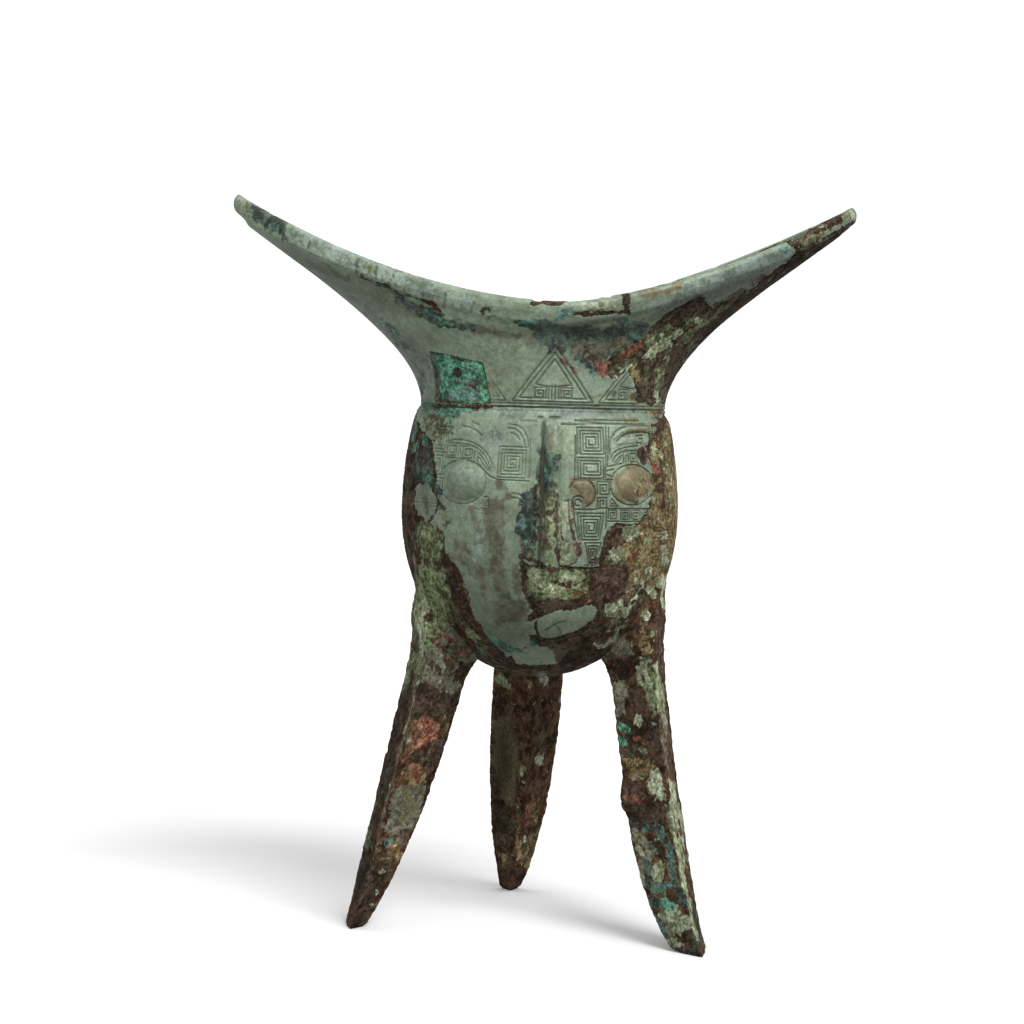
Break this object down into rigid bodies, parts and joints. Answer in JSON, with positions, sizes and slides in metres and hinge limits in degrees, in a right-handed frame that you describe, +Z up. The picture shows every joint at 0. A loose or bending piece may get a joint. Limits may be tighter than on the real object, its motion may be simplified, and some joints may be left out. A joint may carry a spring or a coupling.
{
  "type": "bronze jiao vessel",
  "caption": "Ancient-style bronze wine vessel with an egg-shaped bowl, a boat-shaped mouth rising to pointed lips, blade legs, a mask band and a loop handle.",
  "frame": {"origin": "on the ground, under the middle of the vessel's bounding box", "axes": "+Z up, -Y towards the front with the flange, +Y towards the handle, +X and -X along the two lips"},
  "size_m": [0.1832, 0.108, 0.2158],
  "materials": {
    "sage_bronze": "aged bronze with a smooth grey-green patina, worn through to brown",
    "brown_bronze": "aged bronze with a rough dark brown crust and green spots",
    "malachite_plate": "aged bronze under bright green malachite corrosion"
  },
  "bodies": {
    "root": {"bowl": "sage_bronze", "flared_mouth": "sage_bronze", "neck_spacer": "malachite_plate", "front_flange": "sage_bronze", "eye_front_left": "sage_bronze", "eye_front_right": "sage_bronze", "eye_back_left": "sage_bronze", "eye_back_right": "sage_bronze", "handle_loop": "brown_bronze", "handle_head": "brown_bronze", "leg_front_left": "brown_bronze", "leg_front_right": "brown_bronze", "leg_back": "brown_bronze"}
  },
  "joints": []
}
